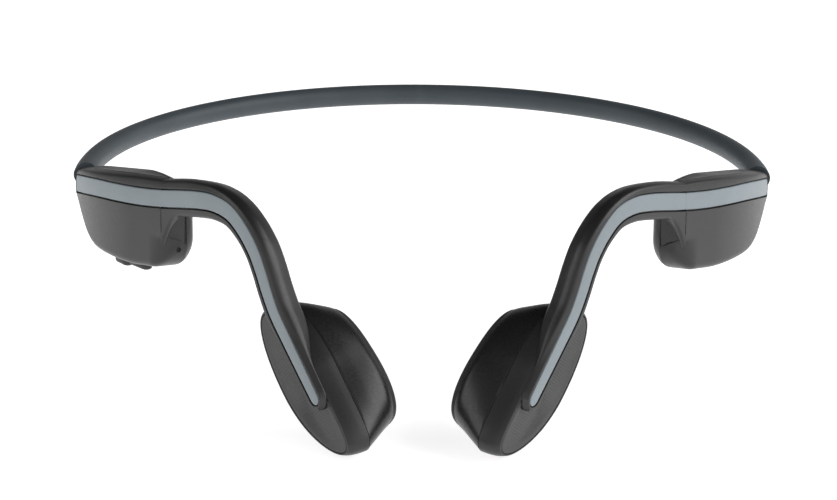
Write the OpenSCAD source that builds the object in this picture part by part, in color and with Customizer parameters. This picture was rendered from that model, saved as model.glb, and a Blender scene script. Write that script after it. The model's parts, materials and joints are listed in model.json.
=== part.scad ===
/* [Fit] */
// Width across the outer faces of the two housings at the neckband
span = 132; // [126:0.5:140]
// Toe-in of each arm where it leaves the neckband, in degrees
toe_in_rear = 14; // [11:0.5:17]
// Toe-in of each arm from the end of its bend on, in degrees
toe_in_front = 41; // [38:0.5:44]
// Plan radius of the arm's bend
bend_r = 60; // [56:1:64]

/* [Neckband] */
// Plan radius of the neckband's centreline
band_r = 63.7; // [63:0.1:64.2]
// Diameter of the silicone sleeve
band_d = 4.2; // [4:0.1:4.6]
// Diameter of the sleeve's bore
band_bore = 2.4; // [2.2:0.1:2.6]
// Height of the neckband's centreline over the arm's datum
band_z = 4.6; // [4.4:0.1:4.8]

/* [Housing] */
// Where the housing starts along the arm
housing_start = 1.3; // [1:0.1:1.6]
// Where the housing ends and the ear hook starts
housing_end = 37.4; // [37:0.1:38]
// Depth of the housing, outer face to inner face
housing_depth = 8.6; // [8.4:0.1:9]
// Depth of the parting plane of the two shells
housing_parting = 5.6; // [5.4:0.1:5.8]
// Wall of the housing shells
wall = 1.1; // [1:0.05:1.2]
// Wall of the outer face, under the inlay strip's groove
face_wall = 1.6; // [1.5:0.05:1.7]

/* [Ear hook] */
// Depth of the ear hook
hook_depth = 4.6; // [4.4:0.1:4.8]
// Diameter of the channel in the ear hook
channel_d = 2.5; // [2.4:0.05:2.6]
// Width of the inlay strip
strip_w = 3.3; // [3:0.1:3.5]
// Depth of the inlay strip
strip_depth = 0.6; // [0.5:0.05:0.7]
// Depth of the tongue that runs on over the pod's panel
tongue_depth = 1.15; // [1.1:0.05:1.15]

/* [Pod] */
// Length of the pod over its crease
pod_length = 28.6; // [28:0.2:30]
// Width of the pod over its crease
pod_width = 12.6; // [12.4:0.1:13]
// Slope of the pod's long axis, forward and down, in degrees
pod_slope = 40; // [39:0.5:42]
// Wall of the pod shells
pod_wall = 1.1; // [1:0.05:1.15]
// Depth of the contact face from the arm's outer face
pod_depth = 14; // [14:0.1:14.4]

/* [Controls] */
// Width of the volume up button along the arm
volume_up_w = 4.7; // [4.3:0.1:4.8]
// Width of the volume down button along the arm
volume_down_w = 5.8; // [5.3:0.1:5.9]
// Depth of a volume button
volume_button_t = 2.2; // [2:0.1:2.3]
// Travel of the multifunction button and the volume buttons
press_travel = 0.4; // [0.3:0.05:0.45]

/* [Hidden] */
$fn = 48;

// Colours
SLATE = "#59646c";
CHARCOAL = "#4a4a4b";
STRIP_GREY = "#8f9ba2";
BLACK = "#1d1d1e";
PANEL_GREY = "#565656";
STEEL = "#b9bcc0";
NICKEL = "#9a9a94";
BOARD_GREEN = "#1f5a3a";
COPPER = "#b5713c";
RED = "#a02c2c";

// ---- The arm's own coordinates: s along its outer face, t in from that face, z up ----
bend_len = bend_r * (toe_in_front - toe_in_rear) * PI / 180;
function toe_in(s) = toe_in_rear + min(s, bend_len) / bend_r * 180 / PI;
function arm(s, t, z) =
  let (q = toe_in(s), past = max(0, s - bend_len))
  [
    -span / 2 + bend_r * (cos(toe_in_rear) - cos(q)) + past * sin(q) + t * cos(q),
    -bend_r * (sin(q) - sin(toe_in_rear)) - past * cos(q) + t * sin(q),
    z
  ];

// Places children at s along the arm: X forward along it, Y in towards the head, Z up
module at_arm(s, t = 0, z = 0) {
  translate(arm(s, t, z))
    rotate([0, 0, toe_in(s) - 90])
      children();
}

// ---- Smooth curves through a few points ----
function pick(p, i) = p[max(0, min(len(p) - 1, i))];
function spline(p, u) =
  let (i = max(0, min(floor(u), len(p) - 2)), f = u - i)
  let (a = pick(p, i - 1), b = p[i], c = p[i + 1], d = pick(p, i + 2))
  0.5 * (2 * b + (c - a) * f + (2 * a - 5 * b + 4 * c - d) * f * f + (3 * b - a - 3 * c + d) * f * f * f);

// ---- Skins ----
// A closed solid through rings of equal point counts. Point k of a ring faces point (last - k), so that
// the two end faces are ladders of flat quads. A wrapped skin joins its last ring to its first instead.
module skin(rings, wrap = false) {
  n = len(rings[0]);
  m = len(rings);
  last = (m - 1) * n;
  sides = [
    for (i = [0 : wrap ? m - 1 : m - 2], k = [0 : n - 1])
      let (a = i * n + k, b = i * n + (k + 1) % n, c = (i + 1) % m * n + (k + 1) % n, d = (i + 1) % m * n + k)
      each [[a, b, c], [a, c, d]]
  ];
  ends = wrap ? [] : [
    for (k = [0 : n / 2 - 2])
      each [
        [k, n - 1 - k, n - 2 - k],
        [k, n - 2 - k, k + 1],
        [last + k, last + n - 2 - k, last + n - 1 - k],
        [last + k, last + k + 1, last + n - 2 - k]
      ]
  ];
  polyhedron(points = [for (r = rings) each r], faces = concat(sides, ends));
}

function superellipse(a, b, e, n, centre = [0, 0]) = [
  for (k = [0 : n - 1])
    let (q = (k + 0.5) * 360 / n, c = cos(q), s = sin(q))
    centre + [a * sign(c) * pow(abs(c), 2 / e), b * sign(s) * pow(abs(s), 2 / e)]
];

// ---- Inlay strip: the guide curve that the rail, the hook and the tongue follow, as [s, z] ----
guide = [
  [0.4, 2.7], [8, 4.3], [16, 5.7], [24, 6.7], [31, 7.5], [37.4, 8.5], [43, 9.6], [48, 10.5],
  [52.5, 10.9], [57, 10.2], [60.7, 7.9], [63.7, 4.8], [65.7, 1.6], [67.4, -1.8], [69.5, -5.3],
  [72.8, -9.2], [75.6, -12.4], [78.4, -15.6], [81.1, -18.7]
];
guide_steps = 3;
guide_last = len(guide) - 1;
HOOK_ROOT = 5;
HOOK_END = 15;
function guide_at(u) = spline(guide, u);

// Across the guide: upright as far as the hook's root, then square to the curve
function across(u) =
  let (d = guide_at(min(guide_last, u + 0.05)) - guide_at(max(0, u - 0.05)), n = [-d[1], d[0]] / norm(d))
  let (f = max(0, min(1, u - HOOK_ROOT)))
  let (v = [0, 1] * (1 - f) + n * f)
  v / norm(v);

// A section of [w across the guide, t in] points, placed on the guide at u
function placed(section, u) =
  let (p = guide_at(u), v = across(u))
  [for (q = section) arm(p[0] + q[0] * v[0], q[1], p[1] + q[0] * v[1])];

function steps(from, to) = [for (k = [0 : (to - from) * guide_steps]) from + k / guide_steps];

// The strip narrows along its length, and ends in a round tip
function strip_half(u) =
  let (left = (guide_last - u) / 0.45, part = u / guide_last)
  strip_w / 2 * (1 - 0.12 * part - 0.24 * pow(part, 4)) * (left < 1 ? sqrt(max(0.04, 1 - (1 - left) * (1 - left))) : 1);
strip_ends = [guide_last - 0.3, guide_last - 0.15, guide_last - 0.06, guide_last];
strip_start = 0.36;
strip_us = concat([for (u = steps(0, guide_last - 1)) if (u > 0.5) u], [guide_last - 0.66], strip_ends);

// The strip's own section, grown by a clearance for its groove
function strip_section(u, gap, over) =
  let (h = strip_half(u) + gap)
  [[h, -over], [h - 0.2, strip_depth + gap / 2], [-h + 0.2, strip_depth + gap / 2], [-h, -over]];

module strip_skin(gap, over) {
  skin([
    for (u = concat([strip_start - gap / 8], strip_us))
      placed(strip_section(u, gap, over), u)
  ]);
}

// ---- Ear hook ----
// The lower side flares into the housing's front along its outer edge. The hook is widest next to the housing.
function flare(u) = let (s = guide_at(u)[0], f = max(0, (42 - s) / (42 - housing_end))) pow(f, 2.2);
function hook_low(u) = lookup(u, [[HOOK_ROOT, 3.4], [8, 3.3], [10.5, 2.9]]);
function hook_high(u) = lookup(u, [[HOOK_ROOT, 3.5], [6.3, 3.5], [9, 2.8], [11, 3.1]]);
function hook_section(u, grow) =
  let (low = hook_low(u) + grow, high = hook_high(u) + grow, d = hook_depth + grow, f = flare(u))
  [
    [high - 1.1, -grow], [high - 0.3, 1.2], [high, 2.2], [high - 0.5, d - 0.9], [high - 1.5, d],
    [-low + 1.5, d], [-low + 0.5, d - 0.9], [-low - 1.4 * f, d - 2.3], [-low - 5.2 * f, 0.6], [-low - 5 * f + 0.4, -grow]
  ];
function tongue_section(u, grow) =
  let (f = sqrt(max(0.05, 1 - pow(max(0, (u - guide_last + 0.3) / 0.55), 2))))
  let (w = 2.35 * f + grow, low = 1.6 * f + grow, d = tongue_depth + grow)
  [
    [w - 0.9, -grow], [w - 0.3, 0.5], [w - 0.15, 0.7], [w, 0.9], [w, d],
    [-low, d], [-low, 0.8], [-low, 0.6], [-low, 0.4], [-low + 0.2, -grow]
  ];
function channel_section(u) = [
  for (k = [0 : 9])
    let (q = 72 - (k + 0.5) * 36)
    [0.1 + channel_d / 2 * sin(90 - q), 2.7 - channel_d / 2 * sin(q)]
];
hook_us = steps(HOOK_ROOT, HOOK_END);
tongue_us = concat(
  [HOOK_END + 0.1],
  [for (u = steps(HOOK_END, guide_last)) if (u > HOOK_END + 0.3) u],
  [guide_last + 0.12, guide_last + 0.2]
);

function extended(section, u) =
  let (over = max(0, u - guide_last), p = guide[guide_last], v = across(guide_last), d = [v[1], -v[0]] * over * 4.2)
  u <= guide_last ? placed(section, u)
  : [for (q = section) arm(p[0] + d[0] + q[0] * v[0], q[1], p[1] + d[1] + q[0] * v[1])];

// The hook with its blind channel: tongue tip, back to the root, then down the channel
module hook_skin() {
  outer = concat(
    [for (u = hook_us) placed(hook_section(u, 0), u)],
    [for (u = tongue_us) extended(tongue_section(u, 0), u)]
  );
  inner = [for (u = hook_us) if (u < HOOK_END - 0.5) placed(channel_section(u), u)];
  skin(concat([for (i = [len(outer) - 1 : -1 : 0]) outer[i]], inner));
}

// The space that the hook takes in the pod
module hook_space(grow) {
  past_end = HOOK_END + 0.1 + grow / 5;
  us = concat([for (u = steps(HOOK_ROOT + 6, HOOK_END)) u], [past_end]);
  skin([for (u = us) placed(hook_section(u, grow), u)]);
}

module ear_hook() {
  color(CHARCOAL)
    difference() {
      hook_skin();
      strip_skin(0.12, 0.5);
      // Way out of the channel for the transducer's cable
      at_arm(guide[HOOK_END - 1][0], 2.5, guide[HOOK_END - 1][1])
        rotate([-90, 0, 0])
          cylinder(d = 1.6, h = 4);
    }
}

module hook_strip() {
  color(STRIP_GREY)
    strip_skin(0, 0);
}

// A round lead in the hook's channel, from the housing's front wall to near the pod
module channel_lead(d, shift, from) {
  us = concat([from], [for (u = steps(HOOK_ROOT, HOOK_END - 1)) u]);
  skin([
    for (u = us)
      placed([
        for (k = [0 : 7])
          let (q = 157.5 - k * 45)
          [shift + 0.1 + d / 2 * cos(q), 2.7 + d / 2 * sin(q)]
      ], u)
  ]);
}

module hook_wire() {
  color(STEEL)
    channel_lead(0.9, -0.55, HOOK_ROOT - 0.3);
}

module hook_cable() {
  color(BLACK)
    channel_lead(0.9, 0.55, HOOK_ROOT - 0.5);
}

// ---- Housing ----
function rail_top(s) = 5.6 + 0.235 * s - 0.0017 * s * s;
bottom_line = [[0, 1.6], [3, -0.2], [6.5, -2.7], [10, -5.1], [13.5, -6.2], [20, -6.3], [27, -6], [33, -5.2], [39, -4.4]];
function bottom(s) = spline(bottom_line, lookup(s, [for (i = [0 : len(bottom_line) - 1]) [bottom_line[i][0], i]]))[1];
function corner(d, r) = d >= r ? 0 : r - sqrt(max(0, r * r - (r - d) * (r - d)));

// One level of the housing's skin, at depth t: [t, rear, bottom, top, front] insets
housing_stations = 26;
function housing_ring(level) =
  let (s0 = housing_start + level[1], s1 = housing_end - level[4], n = housing_stations)
  let (ss = [for (k = [0 : n]) s0 + (s1 - s0) * (1 - cos(180 * k / n)) / 2])
  let (top_r = 0.4 + 0.5 * max(0, level[0] - 2.6))
  concat(
    [
      for (s = ss)
        let (sag = 2.4 * pow(max(0, (s - 26) / 11), 1.5) * max(0, min(1, (level[0] - 1) / 3)))
        arm(s, level[0], rail_top(s) - level[3] - sag - corner(s - s0, 1.2) - corner(s1 - s, top_r))
    ],
    [
      for (k = [n : -1 : 0])
        let (s = ss[k])
        arm(s, level[0], bottom(s) + level[2] + corner(s - s0, 0.8) + corner(s1 - s, 4))
    ]
  );

function inset(level, d) = [level[0], level[1] + d, level[2] + d, level[3] + d, level[4] + d];
parting_level = [housing_parting, 0.1, -0.9, -0.1, 0.2];
outer_levels = [[0, 0.5, 0.4, 0.5, 0], [0.5, 0.1, 0, 0.1, 0], [2.6, 0, -0.7, -0.15, 0]];
inner_levels = [
  [housing_depth - 1.4, 0.4, -0.5, 0.3, 0.9],
  [housing_depth - 0.4, 1.2, 0.5, 1, 2],
  [housing_depth, 2.1, 1.6, 1.9, 3]
];
function housing_rings(levels) = [for (l = levels) housing_ring(l)];

module right_outer_skin() {
  cavity = inset(parting_level, wall);
  skin(concat(
    housing_rings(concat(outer_levels, [parting_level, cavity])),
    housing_rings([inset([2.6, 0, -0.7, -0.15, 0], wall), inset([face_wall, 0, -0.3, 0.1, 0], wall)])
  ));
}

module housing_inner_skin() {
  floor_level = [housing_depth - wall, 1.2, 0.6, 0.9, 2];
  skin(concat(
    housing_rings([for (i = [2 : -1 : 0]) inner_levels[i]]),
    housing_rings([parting_level, inset(parting_level, wall), inset(floor_level, wall * 0.6)])
  ));
}

// Ways into the housing: the neckband's seat at the rear and the hook's channel in front
seat_s = housing_start + 0.35;
lead_past = 0.63;
lead_angle = 32;
lead_drop = 20;
lead_shift = 0.5;
wire_d = 1;
cable_d = 0.9;
stripped = 0.3;

// Everything ahead of a plane across the arm at s
module ahead_of(s) {
  at_arm(s)
    translate([0, -10, -15])
      cube([30, 30, 40]);
}

// Places children where the neckband's leads turn into the housing, with Z along their way in
module at_lead(shift = 0) {
  translate([-band_r * cos(lead_past), -band_r * sin(lead_past), band_z + shift])
    rotate([90 + lead_drop, 0, lead_angle])
      children();
}

module band_seat() {
  difference() {
    translate([-band_r, 3, band_z])
      rotate([90, 0, 0])
        cylinder(d = band_d + 0.1, h = 6);
    ahead_of(seat_s + 0.05);
  }
  at_lead()
    cylinder(d = plug_d + 0.1, h = 4.6);
}

module front_channel() {
  at_arm(housing_end - 3.4, 2.7, guide_at(HOOK_ROOT)[1] - 0.4)
    rotate([0, 83, 0])
      cylinder(d = channel_d + 0.3, h = 4.2);
}

module housing_outer_shell() {
  difference() {
    right_outer_skin();
    strip_skin(0.12, 0.5);
    band_seat();
    front_channel();
  }
}

module housing_seal() {
  color(BLACK)
    skin([
      for (q = [[housing_parting - 0.6, wall + 0.06], [housing_parting + 0.25, wall + 0.06],
        [housing_parting + 0.25, wall + 0.7], [housing_parting - 0.6, wall + 0.7]])
        housing_ring(inset([q[0], 0.25, -0.75, 0.05, 0.35], q[1]))
    ], wrap = true);
}

// ---- Neckband ----
module neckband_ring(d, bore, shift, past) {
  translate([0, 0, band_z + shift])
    rotate([0, 0, -past])
      rotate_extrude(angle = 180 + 2 * past, $fn = 96)
        translate([band_r, 0])
          difference() {
            circle(d = d);
            if (bore > 0) circle(d = bore);
          }
}

module neckband_sleeve() {
  color(SLATE)
    difference() {
      neckband_ring(band_d, band_bore, 0, 3);
      ahead_of(seat_s);
      mirror([1, 0, 0]) ahead_of(seat_s);
    }
}

// A lead that runs round the neckband and turns into each housing, where it is stripped
module neckband_lead(d, shift, tail) {
  neckband_ring(d, 0, shift, lead_past);
  for (side = [0, 1])
    mirror([side, 0, 0])
      at_lead(shift)
        translate([0, 0, -0.12])
          cylinder(d = d - stripped, h = tail + 0.12);
}

module neckband_wire() {
  color(STEEL)
    neckband_lead(wire_d, -lead_shift, plug_start + plug_len);
}

module neckband_cable() {
  color(BLACK)
    neckband_lead(cable_d, lead_shift, plug_start + plug_len + 0.3);
}

// Ferrule on the leads inside each housing
plug_d = 2.5;
plug_start = 2.6;
plug_len = 1.3;
module band_plug() {
  color(STEEL)
    difference() {
      at_lead()
        translate([0, 0, plug_start])
          cylinder(d = plug_d, h = plug_len);
      for (hole = [[-lead_shift, wire_d - stripped + 0.04], [lead_shift, cable_d - stripped + 0.04]])
        at_lead(hole[0])
          cylinder(d = hole[1], h = 8);
    }
}

// ---- Controls and electronics of the wearer's right housing ----
volume_up_s = 21;
volume_down_s = 26.9;
volume_t = 2.85;
shell_bottom = -7;
volume_up_proud = 1;
volume_down_proud = 0.3;
flange_h = 0.6;
// The flange lies just over the shell's floor and keeps the button in by its inner side
function flange_z(s, w) = max(bottom(s - w / 2 - 0.2), bottom(s + w / 2 + 0.2)) + wall - 0.2;
function switch_z(s, w) = flange_z(s, w) + flange_h + press_travel + 0.05;

module stadium(w, d, h) {
  for (x = [-1, 1])
    translate([x * (w - d) / 2, 0, 0])
      cylinder(d = d, h = h);
  translate([-(w - d) / 2, -d / 2, 0])
    cube([w - d, d, h]);
}

module volume_button(s, w, proud) {
  color(BLACK)
    at_arm(s, volume_t) {
      translate([0, 0, shell_bottom - proud])
        stadium(w, volume_button_t, flange_z(s, w) - shell_bottom + proud + flange_h);
      translate([0, 0.35, flange_z(s, w)])
        stadium(w, volume_button_t + 0.8, flange_h);
    }
}

module volume_up_button() { volume_button(volume_up_s, volume_up_w, volume_up_proud); }
module volume_down_button() { volume_button(volume_down_s, volume_down_w, volume_down_proud); }

module volume_switches() {
  color(STEEL)
    for (b = [[volume_up_s, volume_up_w], [volume_down_s, volume_down_w]])
      at_arm(b[0], volume_t)
        translate([-1.75, -0.9, switch_z(b[0], b[1])])
          cube([3.5, 1.8, 1.3]);
}

board_s = 25;
board_t = 3.4;
board_depth = 0.6;
board_z0 = -3.6;
board_len = 17;
board_z1 = 5.2;

module main_board() {
  color(BOARD_GREEN)
    at_arm(board_s, board_t)
      difference() {
        translate([-board_len / 2, -0.3, board_z0])
          cube([board_len, board_depth, board_z1 - board_z0]);
        for (x = [-board_len / 2 + 1.4, board_len / 2 - 1.4])
          translate([x, -1, board_z1 - 1.5])
            rotate([-90, 0, 0])
              cylinder(d = 1.3, h = 3);
        // Room for the two switches and the lower microphone
        for (x = [volume_up_s, volume_down_s, lower_mic_s] - [board_s, board_s, board_s])
          translate([x - 2.2, -1, board_z0 - 1])
            cube([4.4, 3, 3]);
      }
}

module radio_shield() {
  color(STEEL)
    at_arm(board_s, board_t)
      translate([-5, board_depth - 0.3, 0])
        difference() {
          cube([9, 1.6, 4.6]);
          translate([0.2, -1, 0.2])
            cube([8.6, 2.4, 4.2]);
        }
}

module board_screws() {
  color(NICKEL)
    at_arm(board_s, board_t)
      for (x = [-board_len / 2 + 1.4, board_len / 2 - 1.4])
        translate([x, 0, board_z1 - 1.5])
          rotate([-90, 0, 0]) {
            translate([0, 0, -0.5])
              cylinder(d = 1.1, h = 1.2);
            translate([0, 0, board_depth - 0.3])
              cylinder(d = 2, h = 0.5);
          }
}

// Charging port: the receptacle faces the head, and a soft flap covers it
port_s = 9.4;
port_z = 1.4;
port_w = 8.94;
port_h = 3.26;
port_len = 4.6;
flap_l = 11.4;
flap_h = 5;
flap_t = 0.9;
flap_face = housing_depth + 0.12;

module usb_c_receptacle() {
  color(NICKEL)
    at_arm(port_s, flap_face - flap_t - 0.35, port_z)
      rotate([90, 0, 0]) {
        difference() {
          stadium(port_w, port_h, port_len);
          translate([0, 0, -1])
            stadium(port_w - 0.6, port_h - 0.6, port_len);
        }
        translate([-3.35, -0.35, 0.9])
          cube([6.7, 0.7, port_len - 1.2]);
      }
}

module port_opening() {
  at_arm(port_s, flap_face, port_z)
    rotate([90, 0, 0]) {
      translate([0, 0, -1])
        stadium(flap_l + 0.2, flap_h + 0.2, flap_t + 1.05);
      stadium(port_w + 0.1, port_h + 0.1, 4);
    }
}

module port_cover() {
  color(BLACK)
    at_arm(port_s, flap_face, port_z)
      rotate([90, 0, 0]) {
        stadium(flap_l, flap_h, flap_t);
        translate([0, 0, flap_t])
          stadium(port_w - 1.2, port_h - 1.2, 0.5);
      }
}

// Two microphones: one looks forward and one looks down
front_mic_t = 3.9;
front_mic_z = -1.9;
lower_mic_s = 31.6;
lower_mic_t = 3.7;
lower_mic_z = -6.3;
mic_bore = 1;

module front_microphone() {
  color(NICKEL)
    at_arm(housing_end - wall - 0.2, front_mic_t, front_mic_z)
      translate([-2, -0.9, -0.95])
        cube([0.9, 1.6, 1.9]);
}

module lower_microphone() {
  color(NICKEL)
    at_arm(lower_mic_s, lower_mic_t, lower_mic_z)
      translate([-1.4, -0.95, wall + 0.5])
        cube([2.8, 1.9, 0.9]);
}

module microphone_holes(d) {
  at_arm(housing_end - 2, front_mic_t, front_mic_z)
    rotate([0, 90, 0])
      cylinder(d = d, h = 4);
  at_arm(lower_mic_s, lower_mic_t, lower_mic_z - 2)
    cylinder(d = d, h = 4);
}

module microphone_meshes() {
  color(STEEL) {
    at_arm(housing_end - 0.5, front_mic_t, front_mic_z)
      rotate([0, 90, 0])
        cylinder(d = mic_bore - 0.04, h = 0.15);
    at_arm(lower_mic_s, lower_mic_t, lower_mic_z + 0.2)
      cylinder(d = mic_bore - 0.04, h = 0.15);
  }
}

light_s = 18.4;
light_z = 1.4;
light_d = 1.2;
module status_light_lens() {
  color("white")
    at_arm(light_s, housing_depth, light_z)
      rotate([90, 0, 0])
        cylinder(d = light_d, h = 1.6);
}

module right_housing_outer_shell() {
  color(CHARCOAL)
    difference() {
      housing_outer_shell();
      microphone_holes(mic_bore);
      for (b = [[volume_up_s, volume_up_w], [volume_down_s, volume_down_w]])
        at_arm(b[0], volume_t, shell_bottom - 2)
          stadium(b[1] + 0.16, volume_button_t + 0.16, 4.7);
    }
}

module right_housing_inner_shell() {
  color(CHARCOAL)
    difference() {
      housing_inner_skin();
      port_opening();
      at_arm(light_s, housing_depth + 1, light_z)
        rotate([90, 0, 0])
          cylinder(d = light_d + 0.06, h = 4);
    }
}

module right_housing_seal() { housing_seal(); }

// ---- The wearer's left housing, drawn on the right and mirrored ----
module left_housing_outer_shell() {
  color(CHARCOAL)
    mirror([1, 0, 0])
      housing_outer_shell();
}

module left_housing_inner_shell() {
  color(CHARCOAL)
    mirror([1, 0, 0])
      housing_inner_skin();
}

module left_housing_seal() { mirror([1, 0, 0]) housing_seal(); }

battery_s = 21.4;
battery_t = 3;
battery_size = [22, 3.4, 8.5];
battery_z = -3.5;
module battery_cell() {
  color("silver")
    mirror([1, 0, 0])
      at_arm(battery_s, battery_t, battery_z)
        translate([-battery_size[0] / 2, 0, 0]) {
          cube([battery_size[0], battery_size[1], battery_size[2]]);
          translate([0.3, 0.3, battery_size[2]])
            cube([battery_size[0] - 0.6, battery_size[1] - 0.6, 0.3]);
        }
}

module battery_protection_board() {
  color(BOARD_GREEN)
    mirror([1, 0, 0])
      at_arm(battery_s, battery_t, battery_z)
        translate([-battery_size[0] / 2 - 0.9, 0.2, 1.6])
          cube([0.8, 2.8, 6.4]);
}

module battery_foam_pad() {
  color(BLACK)
    mirror([1, 0, 0])
      at_arm(battery_s, battery_t + battery_size[1], battery_z + 1.4)
        translate([-6, 0, 0])
          cube([12, 0.6, 6.6]);
}

// ---- Pod: X across the pod, up and forward; Y along it, down and forward; Z in towards the head ----
pod_s = 75.8;
pod_z = -15.7;
pod_points = 40;
module in_pod() {
  at_arm(pod_s, 0, pod_z)
    multmatrix([
      [sin(pod_slope), cos(pod_slope), 0, 0],
      [0, 0, 1, 0],
      [cos(pod_slope), -sin(pod_slope), 0, 0]
    ])
      children();
}

// [depth, half width, half length, centre across, centre along, lean], where a pod with lean is narrower at
// its lower end and leans across
pod_a = pod_length / 2;
pod_b = pod_width / 2;
panel_top = tongue_depth + 0.05;
panel_level = [panel_top, pod_b - 1.3, pod_a + 0.2, -1.45, 0.7, 1];
edge_level = [panel_top + 0.05, pod_b - 0.8, pod_a + 0.7, -1.45, 0.7, 1];
shoulder_level = [2.2, pod_b - 0.45, pod_a + 1.1, -1.25, 0.8, 1];
waist_level = [3.6, pod_b - 0.15, pod_a + 1.3, -1, 0.85, 1];
crease_level = [5, pod_b, pod_a + 1.3, -0.76, 0.9, 1];
belly_level = [8, pod_b + 0.15, pod_a, -0.25, 0.7, 0.5];
breast_level = [11, pod_b + 0.1, pod_a - 1.4, 0, 0.6, 0];
pad_seat = pod_depth - 1.4;
seat_level = [pad_seat, pod_b - 0.15, pod_a - 2.1, -0.1, 0.6, 0];

function leaning(p, lean) = [p[0] * (1 - 0.012 * lean * max(0, p[1])) - 0.1 * lean * min(5, p[1]), p[1]];
function pod_outline(l, d) = [
  for (p = superellipse(l[1] - d, l[2] - d, 2.4 - 0.25 * l[5], pod_points, [0, l[4]]))
    leaning(p, l[5]) + [l[3], 0]
];
function pod_ring(l, d = 0, t = -1) = [for (p = pod_outline(l, d)) [p[0], p[1], t < 0 ? l[0] : t]];

// The outer shell wraps round the panel with a thin edge
module pod_outer_skin() {
  skin([
    pod_ring(edge_level), pod_ring(shoulder_level), pod_ring(waist_level), pod_ring(crease_level),
    pod_ring(crease_level, pod_wall), pod_ring(waist_level, pod_wall),
    pod_ring(panel_level, -0.12, 2.7), pod_ring(panel_level, -0.12, panel_top + 0.05)
  ], wrap = true);
}

module pod_outer_shell() {
  color(CHARCOAL)
    difference() {
      in_pod() pod_outer_skin();
      hook_space(0.1);
    }
}

seal_h = 0.35;
module pod_inner_shell() {
  floor_t = pad_seat - 1.2;
  color(BLACK)
    in_pod()
      skin([
        pod_ring(seat_level), pod_ring(breast_level), pod_ring(belly_level), pod_ring(crease_level),
        pod_ring(crease_level, pod_wall), pod_ring(belly_level, pod_wall),
        pod_ring(seat_level, pod_wall, floor_t)
      ]);
}

module pod_seal() {
  color(RED)
    in_pod()
      skin([
        pod_ring(crease_level, pod_wall + 0.25, 5 - seal_h), pod_ring(crease_level, pod_wall + 0.25, 5 + seal_h),
        pod_ring(crease_level, pod_wall + 0.75, 5 + seal_h), pod_ring(crease_level, pod_wall + 0.75, 5 - seal_h)
      ], wrap = true);
}

// The textured plate, with a lip that runs inside the shell's rim
plate_h = 1;
lip_h = 0.9;
module pod_plate() {
  color(PANEL_GREY)
    difference() {
      in_pod() {
        translate([0, 0, panel_top])
          linear_extrude(plate_h)
            polygon(pod_outline(panel_level, 0));
        translate([0, 0, panel_top + plate_h])
          linear_extrude(lip_h)
            difference() {
              polygon(pod_outline(panel_level, 0.7));
              polygon(pod_outline(panel_level, 1.6));
            }
      }
      hook_space(0.15);
    }
}

module contact_pad() {
  color(BLACK)
    in_pod()
      translate([0, 0, pad_seat])
        linear_extrude(pod_depth - pad_seat)
          polygon(pod_outline(seat_level, 0.3));
}

// ---- Transducer, from the yoke (nearest the outside) to the drive plate on the shell's floor ----
motor_l = 14.4;
motor_w = 7.8;
motor_r = 1.8;
yoke_t = 6.3;
yoke_wall = 0.8;
coil_t = 7.9;
spring_t = 9.8;
plate_t = 10.2;

module rounded_box(w, l, h, r) {
  linear_extrude(h)
    rounded_outline(w, l, r);
}

module rounded_outline(w, l, r) {
  square([w - 2 * r, l], center = true);
  square([w, l - 2 * r], center = true);
  for (x = [-1, 1], y = [-1, 1])
    translate([x * (w / 2 - r), y * (l / 2 - r)])
      circle(r);
}

module frame_plate(w, l, r, border, h) {
  linear_extrude(h)
    difference() {
      rounded_outline(w, l, r);
      rounded_outline(w - 2 * border, l - 2 * border, max(0.4, r - border));
    }
}

module transducer_yoke() {
  color(STEEL)
    in_pod() {
      translate([0, 0, yoke_t])
        rounded_box(motor_w, motor_l, yoke_wall, motor_r);
      translate([0, 0, yoke_t + yoke_wall])
        frame_plate(motor_w, motor_l, motor_r, yoke_wall, spring_t - yoke_t - yoke_wall);
    }
}

module transducer_magnet() {
  color(NICKEL)
    in_pod()
      translate([0, 0, yoke_t + yoke_wall])
        rounded_box(3.4, 10, 2.3, 0.4);
}

module voice_coil() {
  color(COPPER)
    in_pod()
      translate([0, 0, coil_t])
        frame_plate(5.8, 12.4, 1.2, 0.9, plate_t - coil_t);
}

module flexure_spring() {
  color(STEEL)
    in_pod()
      translate([0, 0, spring_t])
        frame_plate(motor_w, motor_l, motor_r, 0.9, plate_t - spring_t - 0.05);
}

module drive_plate() {
  color(NICKEL)
    in_pod()
      translate([0, 0, plate_t])
        rounded_box(motor_w - 0.6, motor_l - 0.8, pad_seat - 1.2 - plate_t, 1.2);
}

// ---- The multifunction button's switch, in the wearer's left pod ----
multi_board_t = 5.1;
multi_switch_h = 1.2;
module multifunction_board() {
  color(BOARD_GREEN)
    mirror([1, 0, 0])
      in_pod()
        translate([0, 0, multi_board_t])
          linear_extrude(0.6)
            polygon(pod_outline(crease_level, pod_wall + 0.85));
}

module multifunction_switch() {
  color(STEEL)
    mirror([1, 0, 0])
      in_pod()
        translate([-3, 1.5, multi_board_t - multi_switch_h])
          cube([2.6, 3.6, multi_switch_h]);
}

// The button's plate has a post over the switch
module multifunction_button() {
  post_top = panel_top + plate_h;
  mirror([1, 0, 0]) {
    pod_plate();
    color(PANEL_GREY)
      in_pod()
        translate([-1.7, 3.3, post_top])
          cylinder(d = 1.6, h = multi_board_t - multi_switch_h - press_travel - 0.05 - post_top);
  }
}

// ---- Origin: the middle of the whole object's box in plan, at its lowest point ----
function pod_world(p) =
  arm(
    pod_s + p[0] * sin(pod_slope) + p[1] * cos(pod_slope),
    p[2],
    pod_z + p[0] * cos(pod_slope) - p[1] * sin(pod_slope)
  );
outer_levels_of_pod = [edge_level, shoulder_level, waist_level, crease_level, belly_level];
outermost = [for (l = outer_levels_of_pod, p = pod_ring(l)) pod_world(p)];
y_front = min([for (p = outermost) p[1]]);
y_back = band_r + band_d / 2;
z_low = min([for (p = outermost) p[2]]);
module placed_part() {
  translate([0, -(y_front + y_back) / 2, -z_low])
    children();
}

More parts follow.
